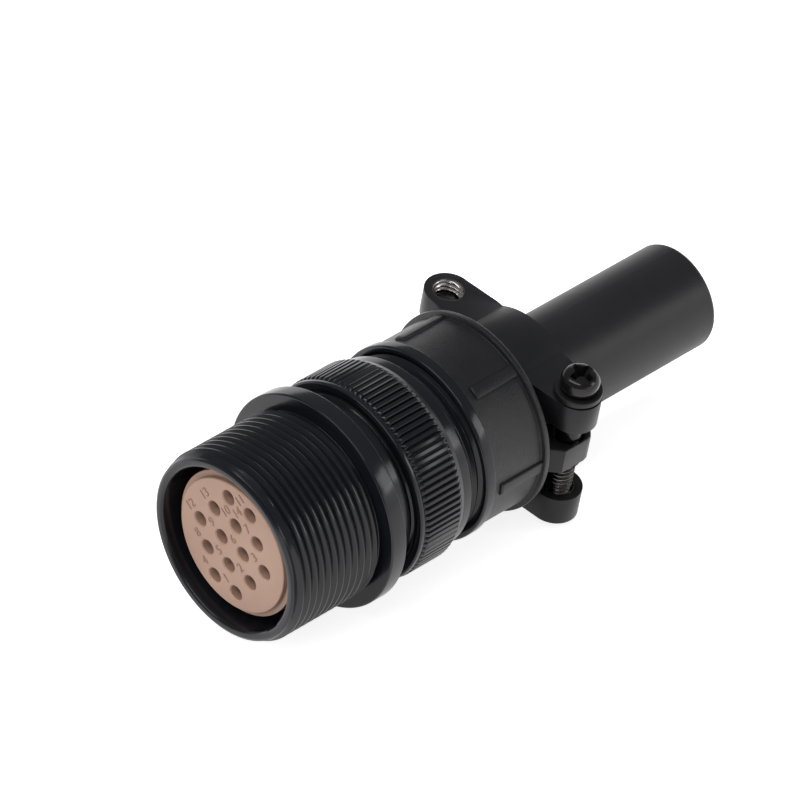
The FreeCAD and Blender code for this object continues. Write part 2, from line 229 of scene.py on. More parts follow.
# one ridge between two angles; across holds (share of the half angle, share of the height) and along (x, share)
def ridgeMesh(name, base, halfAngle, height, across, along, foot=0.3):
    bm = bmesh.new()
    rows = []
    for x, endShare in along:
        row = [bm.verts.new(around(x, base + height * share * endShare, side * halfAngle)) for side, share in across]
        row.append(bm.verts.new(around(x, base - foot, across[-1][0] * halfAngle)))
        row.append(bm.verts.new(around(x, base - foot, across[0][0] * halfAngle)))
        rows.append(row)
    bridgeRows(bm, rows)
    bm.faces.new(rows[0])
    bm.faces.new(rows[-1])
    return cleanMesh(bm, name)


# flat plate with a round hole, its edges rounded, turned about the connector's axis
def plateMesh(name, plan, holeCentre, holeRadius, halfHeight, edge, turn, holeSlices=40):
    curve = bpy.data.curves.new(name, "CURVE")
    curve.dimensions = "2D"
    curve.fill_mode = "BOTH"
    curve.extrude = (halfHeight - edge) * mm
    curve.bevel_depth = edge * mm
    curve.bevel_resolution = 3
    curve.offset = -edge * mm
    hole = [(holeCentre[0] + holeRadius * math.cos(2 * math.pi * s / holeSlices),
             holeCentre[1] + holeRadius * math.sin(2 * math.pi * s / holeSlices)) for s in range(holeSlices)]
    for loop in (plan, hole):
        line = curve.splines.new("POLY")
        line.points.add(len(loop) - 1)
        for point, (x, y) in zip(line.points, loop):
            point.co = (x * mm, y * mm, 0, 1)
        line.use_cyclic_u = True
    mesh = evaluatedMesh(placed(name, curve), name)
    mesh.transform(Matrix.Rotation(math.radians(turn), 4, "X"))
    bm = bmesh.new()
    bm.from_mesh(mesh)
    return cleanMesh(bm, name)


def noLimit(x):  # far outside every thread
    return 99


# (x, r) points of a screw thread in the half section at one angle; shape holds (share of the pitch, share of the depth)
def threadPoints(spec, angle, limitAt=noLimit):
    points = []
    start, end, pitch = spec["from"], spec["to"], spec["pitch"]
    turns = math.ceil((end - start) / pitch) + 2
    shift = pitch * angle / (2 * math.pi)
    root = spec["radius"] - spec["depth"]
    for turn in range(-1, turns):
        for share, high in spec["shape"]:
            x = start + spec["phase"] + turn * pitch + share * pitch + shift - pitch
            fade = min(1.0, max(0.0, (end - x) / spec["runOut"]))
            r = min(root + spec["depth"] * high * fade, limitAt(x))
            if x <= start:
                x, r = start, min(root, limitAt(start)) if spec["openStart"] else limitAt(start)
            if x >= end:
                x, r = end, root
            points.append((x, r))
    return points


crestShape = (
    (0.0, 0.0), (0.1, 0.0), (0.14, 0.05), (0.42, 0.94), (0.445, 1.0), (0.555, 1.0), (0.58, 0.94), (0.86, 0.05))


# materials
surface = {
    "detail": 5, "roughness": 0.6, "fineDetail": 3, "fineScale": 9,
    "tintScale": 0.37, "tintSpread": 1.6, "bumpDistance": 0.00003,
}


def noiseGroup():
    group = bpy.data.node_groups.new("surfaceGrain", "ShaderNodeTree")
    newSocket = group.interface.new_socket
    for name in ("Scale", "Middle", "Spread"):
        newSocket(name=name, in_out="INPUT", socket_type="NodeSocketFloat")
    for name in ("Value", "Height"):
        newSocket(name=name, in_out="OUTPUT", socket_type="NodeSocketFloat")
    node = group.nodes.new
    link = group.links.new
    inputs = node("NodeGroupInput")
    outputs = node("NodeGroupOutput")
    place = node("ShaderNodeTexCoord")
    noise = node("ShaderNodeTexNoise")
    noise.inputs["Detail"].default_value = surface["detail"]
    noise.inputs["Roughness"].default_value = surface["roughness"]
    fine = node("ShaderNodeTexNoise")
    fine.inputs["Detail"].default_value = surface["fineDetail"]
    finer = node("ShaderNodeMath")
    finer.operation = "MULTIPLY"
    finer.inputs[1].default_value = surface["fineScale"]
    centred = node("ShaderNodeMath")
    centred.operation = "SUBTRACT"
    centred.inputs[1].default_value = 0.5
    value = node("ShaderNodeMath")
    value.operation = "MULTIPLY_ADD"
    link(place.outputs["Object"], noise.inputs["Vector"])
    link(place.outputs["Object"], fine.inputs["Vector"])
    link(inputs.outputs["Scale"], noise.inputs["Scale"])
    link(inputs.outputs["Scale"], finer.inputs[0])
    link(finer.outputs[0], fine.inputs["Scale"])
    link(noise.outputs["Fac"], centred.inputs[0])
    link(centred.outputs[0], value.inputs[0])
    link(inputs.outputs["Spread"], value.inputs[1])
    link(inputs.outputs["Middle"], value.inputs[2])
    link(value.outputs[0], outputs.inputs["Value"])
    link(fine.outputs["Fac"], outputs.inputs["Height"])
    return group


grain = noiseGroup()


def grainNode(nodes, scale, middle, spread):
    node = nodes.new("ShaderNodeGroup")
    node.node_tree = grain
    node.inputs["Scale"].default_value = scale
    node.inputs["Middle"].default_value = middle
    node.inputs["Spread"].default_value = spread
    return node


def finish(name, look):
    material = bpy.data.materials.new(name)
    material.use_nodes = True
    nodes = material.node_tree.nodes
    link = material.node_tree.links.new
    shader = nodes["Principled BSDF"]
    shader.inputs["Metallic"].default_value = look.get("metallic", 0.0)
    shader.inputs["Specular IOR Level"].default_value = look.get("specular", 0.5)
    rough = grainNode(nodes, look["scale"], look["roughness"], look["roughSpread"])
    link(rough.outputs["Value"], shader.inputs["Roughness"])
    tint = nodes.new("ShaderNodeMix")
    tint.data_type = "RGBA"
    tint.inputs["A"].default_value = (*look["dark"], 1)
    tint.inputs["B"].default_value = (*look["light"], 1)
    blend = grainNode(nodes, look["scale"] * surface["tintScale"], 0.5, surface["tintSpread"])
    link(blend.outputs["Value"], tint.inputs["Factor"])
    link(tint.outputs["Result"], shader.inputs["Base Color"])
    bump = nodes.new("ShaderNodeBump")
    bump.inputs["Strength"].default_value = look["bump"]
    bump.inputs["Distance"].default_value = look.get("bumpDistance", surface["bumpDistance"])
    link(rough.outputs["Height"], bump.inputs["Height"])
    link(bump.outputs["Normal"], shader.inputs["Normal"])
    return material


blackFinish = finish("blackShellFinish", {
    "dark": (0.005, 0.0056, 0.0078), "light": (0.008, 0.009, 0.012), "roughness": 0.17, "roughSpread": 0.08,
    "scale": 260, "bump": 0.1, "specular": 0.34})
castFinish = finish("clampCastFinish", {
    "dark": (0.007, 0.0072, 0.0082), "light": (0.0105, 0.0107, 0.012), "roughness": 0.36, "roughSpread": 0.14,
    "scale": 420, "bump": 0.5, "specular": 0.28})
rubberFinish = finish("sleeveRubberFinish", {
    "dark": (0.0075, 0.0075, 0.0088), "light": (0.0105, 0.0105, 0.012), "roughness": 0.42, "roughSpread": 0.1,
    "scale": 300, "bump": 0.25, "specular": 0.36})
insertFinish = finish("insertMouldingFinish", {
    "dark": (0.385, 0.25, 0.19), "light": (0.475, 0.32, 0.245), "roughness": 0.62, "roughSpread": 0.15,
    "scale": 180, "bump": 0.18, "specular": 0.3})
# painted shade: the raised numbers are a darker brown than the insert, standing in for the shade along their raised
# edges
markPaintedShade = finish("raisedNumberPaintedShade", {
    "dark": (0.25, 0.148, 0.108), "light": (0.32, 0.198, 0.15), "roughness": 0.55, "roughSpread": 0.15,
    "scale": 240, "bump": 0.1, "specular": 0.3})
# painted shade: a darker brown for the funnels' deep walls, standing in for the shade inside the holes
throatPaintedShade = finish("insertThroatPaintedShade", {
    "dark": (0.235, 0.142, 0.104), "light": (0.305, 0.19, 0.143), "roughness": 0.6, "roughSpread": 0.15,
    "scale": 240, "bump": 0.1, "specular": 0.3})
goldFinish = finish("contactGoldFinish", {
    "dark": (0.62, 0.42, 0.15), "light": (0.8, 0.58, 0.24), "roughness": 0.3, "roughSpread": 0.15,
    "scale": 400, "bump": 0.1, "metallic": 1.0})
greyFinish = finish("spacerGreyFinish", {
    "dark": (0.34, 0.35, 0.37), "light": (0.44, 0.45, 0.47), "roughness": 0.42, "roughSpread": 0.15,
    "scale": 300, "bump": 0.1, "metallic": 1.0})
screwFinish = finish("screwBlackFinish", {
    "dark": (0.012, 0.0115, 0.0115), "light": (0.03, 0.028, 0.027), "roughness": 0.16, "roughSpread": 0.14,
    "scale": 500, "bump": 0.1, "metallic": 0.7, "specular": 0.6})
washerFinish = finish("washerBlackFinish", {
    "dark": (0.004, 0.004, 0.0045), "light": (0.008, 0.008, 0.009), "roughness": 0.38, "roughSpread": 0.14,
    "scale": 500, "bump": 0.1, "specular": 0.3})
ringFinish = finish("clampRingFinish", {
    "dark": (0.007, 0.0072, 0.0082), "light": (0.0105, 0.0107, 0.012), "roughness": 0.34, "roughSpread": 0.16,
    "scale": 520, "bump": 0.3, "bumpDistance": 0.0003, "specular": 0.34})
shankFinish = finish("screwShankFinish", {
    "dark": (0.07, 0.065, 0.062), "light": (0.16, 0.15, 0.145), "roughness": 0.24, "roughSpread": 0.16,
    "scale": 600, "bump": 0.1, "metallic": 1.0})
threadFinish = finish("cutThreadFinish", {
    "dark": (0.35, 0.34, 0.34), "light": (0.6, 0.59, 0.58), "roughness": 0.22, "roughSpread": 0.2,
    "scale": 600, "bump": 0.1, "metallic": 1.0})
print("materials made")


# front shell: barrel with the coupling thread, flange, neck and rear thread
barrel = {
    "mouth": 13.7, "land": 12.35, "landFrom": 10.6, "landTo": 14.6, "bore": 13.4, "rearEnd": 33.2,
    "noseR": 14.9, "noseTo": 0.9, "noseRise": 0.42, "leadSlope": 0.9,
    "flangeFrom": 18.2, "flangeTo": 21.3, "flange": 18.0, "neck": 15.3, "neckEnd": 24.6,
    "keyTurn": 131.5, "keyHalfWidth": 1.6, "keyDepth": 0.15, "keyLength": 8.0, "keyEdge": 0.002, "slices": 240,
}
couplingThread = {
    "from": 0.22, "to": 17.6, "pitch": 25.4 / 18, "radius": 15.875, "depth": 0.8, "phase": 0.306,
    "runOut": 0.5, "openStart": False, "shape": crestShape,
}
rearThread = {
    "from": 25.1, "to": 32.6, "pitch": 25.4 / 18, "radius": 14.85, "depth": 0.6, "phase": 0.2,
    "runOut": 0.4, "openStart": True, "shape": crestShape,
}
keyMiddle = math.radians(barrel["keyTurn"])
keyHalf = math.asin(barrel["keyHalfWidth"] / barrel["mouth"])


def leadRadius(x):  # rounded nose in front of the first crest
    nose, rise = barrel["noseTo"], barrel["noseRise"]
    if x < nose:
        return barrel["noseR"] + rise * math.sqrt(max(0.0, 1 - ((nose - x) / nose) ** 2))
    return barrel["noseR"] + rise + (x - nose) * barrel["leadSlope"]


def frontSection(angle):
    inKey = abs(angle - keyMiddle) < keyHalf
    mouth = barrel["mouth"] + (barrel["keyDepth"] if inKey else 0)
    root = couplingThread["radius"] - couplingThread["depth"]
    rearRoot = rearThread["radius"] - rearThread["depth"]
    inside = filletedPath([
        (barrel["rearEnd"] - 0.01, barrel["bore"], 0),
        (barrel["landTo"], barrel["bore"], 0.1),
        (barrel["landTo"], barrel["land"], 0.1),
        (barrel["landFrom"], barrel["land"], 0.15),
        (barrel["landFrom"], barrel["mouth"], 0.15),
        (barrel["keyLength"] + 0.02, barrel["mouth"], 0.01),
        (barrel["keyLength"], mouth, 0.01),
        (0, mouth, 0.6),
        (0, barrel["noseR"] - 0.1, 0.25),
        (couplingThread["from"], leadRadius(couplingThread["from"]), 0),
    ])
    outside = filletedPath([
        (couplingThread["to"], root, 0),
        (barrel["flangeFrom"], root, 0.15),
        (barrel["flangeFrom"], barrel["flange"], 0.32),
        (barrel["flangeTo"], barrel["flange"], 0.32),
        (barrel["flangeTo"], barrel["neck"], 0.2),
        (barrel["neckEnd"], barrel["neck"], 0.15),
        (rearThread["from"], rearRoot, 0),
    ])
    end = [(barrel["rearEnd"], rearRoot), (barrel["rearEnd"], barrel["bore"])]
    return inside + threadPoints(couplingThread, angle, leadRadius) + outside + threadPoints(rearThread, angle) + end


keyEdges = [keyMiddle + side * (keyHalf + step) for side in (-1, 1) for step in (-barrel["keyEdge"], barrel["keyEdge"])]
frontMesh = sweptMesh("frontShell", frontSection, sorted(fullTurn(barrel["slices"]) + keyEdges))
addPiece("frontShell", frontMesh, (blackFinish,), "front", "black_shell", "front_shell")


# back shell: knurled ring, shoulder and accessory thread
knurl = {
    "from": 25.4, "to": 34.4, "radius": 17.05, "depth": 0.46, "teeth": 96, "lipTo": 26.4, "lip": 16.88,
    "shoulder": 16.1, "shoulderTo": 37.3, "relief": 14.4, "end": 47.0, "bore": 12.0, "seat": 34.22, "threadBore": 14.95,
    "slices": 192, "across": ((-0.98, 0.0), (-0.66, 0.72), (-0.44, 1.0), (0.44, 1.0), (0.66, 0.72), (0.98, 0.0)),
    "along": ((26.5, 0.0), (26.62, 0.35), (27.0, 0.92), (27.15, 1.0), (33.55, 1.0), (33.75, 0.9), (34.3, 0.1),
              (34.4, 0.0)),
}
accessoryThread = {
    "from": 38.3, "to": 46.6, "pitch": 25.4 / 20, "radius": 15.08, "depth": 0.62, "phase": 0.0,
    "runOut": 0.3, "openStart": True, "shape": crestShape,
}
knurlCore = knurl["radius"] - knurl["depth"]


def backSection(angle):
    root = accessoryThread["radius"] - accessoryThread["depth"]
    front = filletedPath([
        (knurl["end"], knurl["bore"] + 0.4, 0),
        (knurl["end"] - 0.4, knurl["bore"], 0.1),
        (knurl["seat"], knurl["bore"], 0.1),
        (knurl["seat"], knurl["threadBore"], 0.1),
        (knurl["from"] + 0.4, knurl["threadBore"], 0.1),
        (knurl["from"], knurl["threadBore"] + 0.4, 0.1),
        (knurl["from"], knurl["lip"], 0.34),
        (knurl["lipTo"] - 0.15, knurl["lip"], 0.22),
        (knurl["lipTo"], knurlCore - 0.12, 0.1),
        (knurl["lipTo"] + 0.25, knurlCore, 0.1),
        (knurl["to"] - 0.25, knurlCore, 0.2),
        (knurl["to"] + 0.15, knurlCore - 0.2, 0.1),
        (knurl["to"] + 0.95, knurl["shoulder"], 0.2),
        (knurl["shoulderTo"], knurl["shoulder"], 0.45),
        (knurl["shoulderTo"], knurl["relief"], 0.15),
        (accessoryThread["from"] - 0.2, knurl["relief"], 0.1),
        (accessoryThread["from"], root, 0),
    ])
    rear = [(accessoryThread["to"], root), (knurl["end"], root - 0.05), (knurl["end"], knurl["bore"] + 0.4)]
    return front + threadPoints(accessoryThread, angle) + rear


coreMesh = sweptMesh("backShellCore", backSection, fullTurn(knurl["slices"]))
tooth = ridgeMesh("knurlTooth", knurlCore, math.pi / knurl["teeth"], knurl["depth"], knurl["across"], knurl["along"])
teeth = repeatAround("knurlTeeth", tooth, knurl["teeth"], 0, blackFinish)
addPiece("backShell", joinMeshes("backShell", coreMesh, teeth), (blackFinish,), "back", "black_shell", "back_shell")


# clamp body: threaded ring with ribs, and the two arms that the screws pass through
clamp = {
    "turn": 11.5, "ringFrom": 39.9, "lipTo": 41.9, "lip": 16.55, "panel": 16.1, "panelTo": 52.2, "rim": 16.95,
    "rimTo": 53.4, "bore": 15.18, "wall": 2.6, "hole": 9.09, "slices": 192,
    "ribs": 6, "ribTurn": -82.0, "ribHalfAngle": 4.0, "ribFrom": 43.3, "ribHeight": 0.45,
    "ribAcross": ((-1.0, 0.0), (-0.93, 0.55), (-0.8, 0.88), (-0.6, 1.0), (0.0, 1.0), (0.6, 1.0), (0.8, 0.88),
                  (0.93, 0.55), (1.0, 0.0)),
    "armInner": 10.2, "armRoot": 13.8, "armOuter": 17.0, "armHalfHeight": 2.45, "armSink": 0.6, "armEdge": 0.3,
    "armEnd": 63.4, "cornerFrom": 1.9, "cornerMiddle": 1.0, "cornerSag": 0.24,
    "screwX": 59.8, "screwY": 14.4, "screwHole": 2.33,
}


def clampSection(angle):
    inner = clamp["rimTo"] - clamp["wall"]
    loop = filletedPath([
        (clamp["ringFrom"] + 0.5, clamp["bore"], 0),
        (clamp["ringFrom"], clamp["bore"] + 0.5, 0.1),
        (clamp["ringFrom"], clamp["lip"], 0.4),
        (clamp["lipTo"], clamp["lip"], 0.28),
        (clamp["lipTo"] + 0.15, clamp["panel"], 0.18),
        (clamp["panelTo"], clamp["panel"], 0.2),
        (clamp["panelTo"] + 0.12, clamp["rim"], 0.22),
        (clamp["rimTo"], clamp["rim"], 0.36),
        (clamp["rimTo"], clamp["hole"], 0.2),
        (inner, clamp["hole"], 0.2),
        (inner, clamp["bore"], 0.3),
        (clamp["ringFrom"] + 0.5, clamp["bore"], 0),
    ])
    return loop[:-1]


def ribMesh():
    start, end = clamp["ribFrom"], clamp["panelTo"] + 0.3
    along = ((start, 0.0), (start + 0.08, 0.6), (start + 0.3, 0.96), (start + 0.5, 1.0), (end, 1.0))
    return ridgeMesh("ringRib", clamp["panel"], math.radians(clamp["ribHalfAngle"]), clamp["ribHeight"],
                     clamp["ribAcross"], along)


def armMesh(side):
    root, end, outer = clamp["rimTo"], clamp["armEnd"], clamp["armOuter"]
    far, middle, sag = clamp["cornerFrom"], clamp["cornerMiddle"], clamp["cornerSag"]
    plan = [
        (root - clamp["armSink"], clamp["armInner"]), (root - clamp["armSink"], clamp["armRoot"]),
        (root, clamp["armRoot"]), (root + outer - clamp["armRoot"], outer),
        (end - far, outer), (end - middle, outer - sag), (end - sag, outer - middle), (end, outer - far),
        (end, clamp["armInner"]),
    ]
    arm = plateMesh("arm", [(x, side * y) for x, y in plan], (clamp["screwX"], side * clamp["screwY"]),
                    clamp["screwHole"], clamp["armHalfHeight"], clamp["armEdge"], clamp["turn"])
    paintAll(arm, 2)
    return arm


ringMesh = sweptMesh("clampRing", clampSection, fullTurn(clamp["slices"]))
paintFaces(ringMesh, lambda centre: 1 if centre.x < (clamp["lipTo"] + 0.1) * mm else 0)  # glossy lip, then panels
ribs = repeatAround("clampRibs", ribMesh(), clamp["ribs"], clamp["ribTurn"], ringFinish)
addPiece("clampBody", joinMeshes("clampBody", ringMesh, ribs, armMesh(-1), armMesh(1)),
         (ringFinish, blackFinish, castFinish), "clamp", "black_shell", "clamp_body")


# clamp hardware is built along X and then stood on the clamp's own Z, through one of its ears
hardware = {
    "turn": 11.5, "x": 59.8, "y": 14.4, "opens": {"upper": 0.75, "lower": 3.0}, "turns": {"upper": 0, "lower": 180},
    "seat": 11.9, "shank": 2.08, "tip": -12.2, "pitch": 25.4 / 32,
}
screwThread = {
    "from": -11.9, "to": 1.5, "pitch": hardware["pitch"], "radius": hardware["shank"], "depth": 0.42, "phase": 0.0,
    "runOut": 0.5, "openStart": True, "shape": crestShape,
}


def stand(mesh, side, ear):  # ear is -1 for the plain hole, 1 for the tapped one
    upright = Matrix(((0, 1, 0), (0, 0, 1), (1, 0, 0))).to_4x4()
    place = Matrix.Translation((hardware["x"] * mm, ear * hardware["y"] * mm, hardware["opens"][side] * mm))
    turned = Matrix.Rotation(math.radians(hardware["turn"] + hardware["turns"][side]), 4, "X")
    mesh.transform(turned @ place @ upright)
    mesh.update()
    return mesh


# saddles: the CAD shape with its edges rounded and a thread in the tapped ear
saddle = {
    "earFrom": 5.3, "earTo": 10.3, "boreR": 2.45, "linerR": 2.53, "crestR": 2.14, "slices": 48,
    "mergeWithin": 2e-6, "flatAngle": 0.6, "edge": 0.3, "edgeAngle": 38,
}
linerThread = {
    "from": 5.6, "to": 10.0, "pitch": hardware["pitch"], "radius": saddle["crestR"],
    "depth": saddle["crestR"] - saddle["boreR"], "phase": 0.0, "runOut": 0.15, "openStart": True, "shape": crestShape,
}


def linerMesh(name, side):
    bore, outer = saddle["boreR"], saddle["linerR"]
    low, high = saddle["earFrom"] + 0.01, saddle["earTo"] - 0.01

    def linerSection(angle):
        return ([(low, outer), (low, bore + 0.02)] + threadPoints(linerThread, angle)
                + [(high, bore + 0.03), (high, outer)])

    mesh = stand(sweptMesh(name, linerSection, fullTurn(saddle["slices"])), side, 1)
    paintAll(mesh, 1)
    return mesh


def cleanCopy(node, name):
    bm = bmesh.new()
    bm.from_mesh(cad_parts[node].data)
    bmesh.ops.remove_doubles(bm, verts=bm.verts, dist=saddle["mergeWithin"])
    bmesh.ops.dissolve_limit(bm, angle_limit=math.radians(saddle["flatAngle"]), verts=bm.verts, edges=bm.edges)
    return plainMesh(bm, name)


def roundedMesh(mesh, name):
    holder = placed(name, mesh)
    edges = holder.modifiers.new("edges", "BEVEL")
    edges.width = saddle["edge"] * mm
    edges.segments = 3
    edges.limit_method = "ANGLE"
    edges.angle_limit = math.radians(saddle["edgeAngle"])
    rounded = evaluatedMesh(holder, name)
    smoothShade(rounded, making["softAngle"])
    return rounded


for side in ("upper", "lower"):
    name = side + "Saddle"
    low, high, wide = saddle["earFrom"] - 1, saddle["earTo"] + 1, saddle["linerR"] - 0.02
    drill = turnedMesh(name + "Drill", [(low, 0), (low, wide), (high, wide), (high, 0)], saddle["slices"])
    body = cutAway(cleanCopy(side + "_saddle", name), stand(drill, side, 1), name)
    addPiece(name, joinMeshes(name, roundedMesh(body, name), linerMesh(name + "Liner", side)),
             (castFinish, threadFinish), side, "black_shell", side + "_saddle")


# lock washers: an open ring whose two ends are sprung apart
washer = {
    "inner": 2.33, "outer": 3.82, "low": 10.34, "thick": 1.05, "spring": 0.42, "gap": 0.1, "slices": 72,
    "innerRound": 0.12, "outerRound": 0.16,
}


def washerMesh(name, side):
    bm = bmesh.new()
    rows = []
    for s in range(washer["slices"] + 1):
        share = s / washer["slices"]
        angle = washer["gap"] + share * (2 * math.pi - 2 * washer["gap"])
        low = washer["low"] + washer["spring"] * share
        high = low + washer["thick"]
        corners = filletedPath([
            (low + 0.4, washer["inner"], 0), (low, washer["inner"], washer["innerRound"]),
            (low, washer["outer"], washer["outerRound"]), (high, washer["outer"], washer["outerRound"]),
            (high, washer["inner"], washer["innerRound"]), (low + 0.41, washer["inner"], 0)], 3)
        rows.append([bm.verts.new(around(x, r, angle)) for x, r in corners])
    bridgeRows(bm, rows)
    bm.faces.new(rows[0])
    bm.faces.new(rows[-1])
    return stand(cleanMesh(bm, name), side, -1)


# screws: threaded shank, domed head and a cross recess cut by two slots and a cone
screwHead = {
    "radius": 3.12, "height": 3.1, "wall": 1.3, "domeSteps": 12, "domePower": 0.7, "slices": 56, "shankSlices": 40,
    "slot": ((-1.9, 0.75, 0.3), (0.4, 2.75, 0.68)),  # (from the top, half length, half width) at its foot and mouth
    "cone": ((-2.3, 0), (-1.9, 0.62), (0.4, 1.35), (0.4, 0)), "coneSlices": 24,  # (from the top, radius)
}


def slotMesh(name, top, quarter):
    bm = bmesh.new()
    spin = Matrix.Rotation(math.radians(quarter), 2)
    corners = []
    for x, along, across in screwHead["slot"]:
        for a, b in ((-along, -across), (along, -across), (along, across), (-along, across)):
            y, z = spin @ Vector((a, b))
            corners.append(bm.verts.new(((top + x) * mm, y * mm, z * mm)))
    for face in ((0, 1, 2, 3), (4, 5, 6, 7), (0, 1, 5, 4), (1, 2, 6, 5), (2, 3, 7, 6), (3, 0, 4, 7)):
        bm.faces.new([corners[k] for k in face])
    return cleanMesh(bm, name, merge=False)


def shankSection(angle):
    root = screwThread["radius"] - screwThread["depth"]
    return ([(hardware["tip"], 0), (hardware["tip"], root - 0.25)] + threadPoints(screwThread, angle)
            + [(screwThread["to"] + 0.15, hardware["shank"]), (hardware["seat"] + 0.2, hardware["shank"]),
               (hardware["seat"] + 0.2, 0)])


def screwMesh(name, side):
    shank = sweptMesh(name + "Shank", shankSection, fullTurn(screwHead["shankSlices"]), closedLoop=False)
    paintFaces(shank, lambda centre: 1 if centre.x < screwThread["to"] * mm else 0)  # worn bright where it is cut
    seat, wide, wall = hardware["seat"], screwHead["radius"], screwHead["wall"]
    outline = [(seat, 0), (seat, wide - 0.25), (seat + 0.12, wide - 0.08), (seat + 0.35, wide)]
    for step in range(screwHead["domeSteps"] + 1):
        lift = math.radians(90 * step / screwHead["domeSteps"])
        outline.append((seat + wall + (screwHead["height"] - wall) * math.sin(lift),
                        wide * math.cos(lift) ** screwHead["domePower"]))
    head = turnedMesh(name + "Head", outline, screwHead["slices"])
    top = seat + screwHead["height"]
    for quarter in (0, 90):
        head = cutAway(head, slotMesh(name + "Slot", top, quarter), name + "Head")
    cone = turnedMesh(name + "Cone", [(top + x, r) for x, r in screwHead["cone"]], screwHead["coneSlices"])
    head = cutAway(head, cone, name + "Head")
    smoothShade(head)
    return stand(joinMeshes(name, shank, head), side, -1)


for side, body in (("near", "upper"), ("far", "lower")):
    addPiece(side + "Washer", washerMesh(side + "Washer", body), (washerFinish,), body, "washer_steel",
             side + "_lock_washer")
    addPiece(side + "Screw", screwMesh(side + "Screw", body), (screwFinish, shankFinish), side + "_screw_body",
             "screw_steel", side + "_screw")


# front half of the insert: fourteen deep funnels and a plain raised number beside each
insert = {
    "face": 1.75, "faceR": 11.3, "step": 2.7, "stepR": 12.2, "land": 14.62, "flangeR": 13.25, "end": 17.0, "slices": 96,
    "pitch": 4.76, "turn": 131.5, "rows": ((3, -1.25), (4, -1.75), (4, -1.25), (3, -0.75)),  # (holes, first place)
    "mouth": 1.3, "throat": 0.86, "seat": 4.5, "seatR": 1.38, "funnelSlices": 36, "shadeFrom": 0.3, "shadeEdge": 0.4,
    "markSize": 2.2, "markRaise": 0.09, "markAway": 2.7, "markAside": 2.9, "markLimit": 9.9,
}


def contactPlaces():
    rowStep = insert["pitch"] * math.sqrt(3) / 2
    turn = math.radians(insert["turn"])
    places = []
    for row, (count, shift) in enumerate(insert["rows"]):
        for column in range(count):
            across = (shift + column) * insert["pitch"]
            upward = rowStep * (1.5 - row)
            places.append((across * math.cos(turn) - upward * math.sin(turn),
                           across * math.sin(turn) + upward * math.cos(turn)))
    return places


def insertMesh():
    face, mouth, throat = insert["face"], insert["mouth"], insert["throat"]
    outline = filletedPath([
        (face, 0, 0), (face, insert["faceR"], 0.22), (insert["step"], insert["faceR"], 0.08),
        (insert["step"], insert["stepR"], 0.08), (insert["land"], insert["stepR"], 0.05),
        (insert["land"], insert["flangeR"], 0.05), (insert["end"], insert["flangeR"], 0.05), (insert["end"], 0, 0)])
    block = turnedMesh("insertFront", outline, insert["slices"])
    funnel = turnedMesh("funnel", [
        (face - 0.5, 0), (face - 0.5, mouth + 0.25), (face - 0.02, mouth + 0.14), (face + 0.07, mouth + 0.03),
        (face + 0.25, mouth - 0.05), (face + 1.1, throat), (insert["seat"], throat),
        (insert["seat"], insert["seatR"]), (insert["end"] + 0.5, insert["seatR"]), (insert["end"] + 0.5, 0),
    ], insert["funnelSlices"])
    bm = bmesh.new()
    for y, z in contactPlaces():
        drill = funnel.copy()
        drill.transform(Matrix.Translation((0, y * mm, z * mm)))
        bm.from_mesh(drill)
    mesh = cutAway(block, plainMesh(bm, "funnels"), "insertFront")

    def shadeAt(centre):  # painted shade: the funnels' deep walls are coloured darker than the face
        inside = math.hypot(centre.y, centre.z) < (insert["faceR"] - insert["shadeEdge"]) * mm
        return 2 if centre.x > (face + insert["shadeFrom"]) * mm and inside else 0

    paintFaces(mesh, shadeAt)
    smoothShade(mesh, making["softAngle"])
    return mesh


def numberMesh(number, y, z):
    turn = math.radians(insert["turn"])
    rightward = Vector((0, math.cos(turn), math.sin(turn)))
    upward = Vector((0, math.sin(turn), -math.cos(turn)))
    lift = insert["markAway"] * Vector((upward.y, upward.z))
    centre = Vector((y, z)) + lift
    if centre.length > insert["markLimit"]:  # no room on that side of the hole
        centre = Vector((y, z)) - lift
    if centre.length > insert["markLimit"]:
        centre = Vector((y, z)) + insert["markAside"] * Vector((rightward.y, rightward.z)).normalized()
    curve = bpy.data.curves.new("number", "FONT")
    curve.body = str(number)
    curve.align_x = "CENTER"
    curve.align_y = "CENTER"
    curve.size = insert["markSize"] * mm
    curve.extrude = insert["markRaise"] * mm
    curve.resolution_u = 3
    mesh = evaluatedMesh(placed("number", curve), "number")
    facing = Matrix((rightward, upward, Vector((-1, 0, 0)))).transposed().to_4x4()
    mesh.transform(Matrix.Translation((insert["face"] * mm, centre.x * mm, centre.y * mm)) @ facing)
    mesh.materials.clear()
    paintAll(mesh, 1)
    return mesh


numbers = [numberMesh(k + 1, y, z) for k, (y, z) in enumerate(contactPlaces())]
addPiece("insertFront", joinMeshes("insertFront", insertMesh(), *numbers), (insertFinish, markPaintedShade, throatPaintedShade),
         "front", "insert_rubber", "insert_front")


# frame nodes that keep their own shape get their material here
keptNodes = {"insert_rear": insertFinish, "spacer_sleeve": greyFinish, "rubber_sleeve": rubberFinish}
for number in range(1, 15):
    keptNodes["contact_%02d" % number] = goldFinish
for node, material in keptNodes.items():
    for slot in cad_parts[node].material_slots:
        slot.material = material
print("kept nodes painted:", len(keptNodes))


# camera, floor, backdrop and light
shot = {
    "place": (-0.6085, -0.6561, 0.6483), "right": (0.7126, -0.7016, 0.0), "up": (0.3999, 0.4062, 0.8216),
    "lens": 328.5, "sensor": 36, "clipStart": 0.01,
}
camera = placed("camera", bpy.data.cameras.new("camera"))
right = Vector(shot["right"]).normalized()
up = Vector(shot["up"])
up = (up - up.dot(right) * right).normalized()
facing = Matrix((right, up, right.cross(up))).transposed().to_4x4()
camera.matrix_world = Matrix.Translation(shot["place"]) @ facing
camera.data.lens = shot["lens"]
camera.data.sensor_width = shot["sensor"]
camera.data.clip_start = shot["clipStart"]
bpy.context.scene.camera = camera

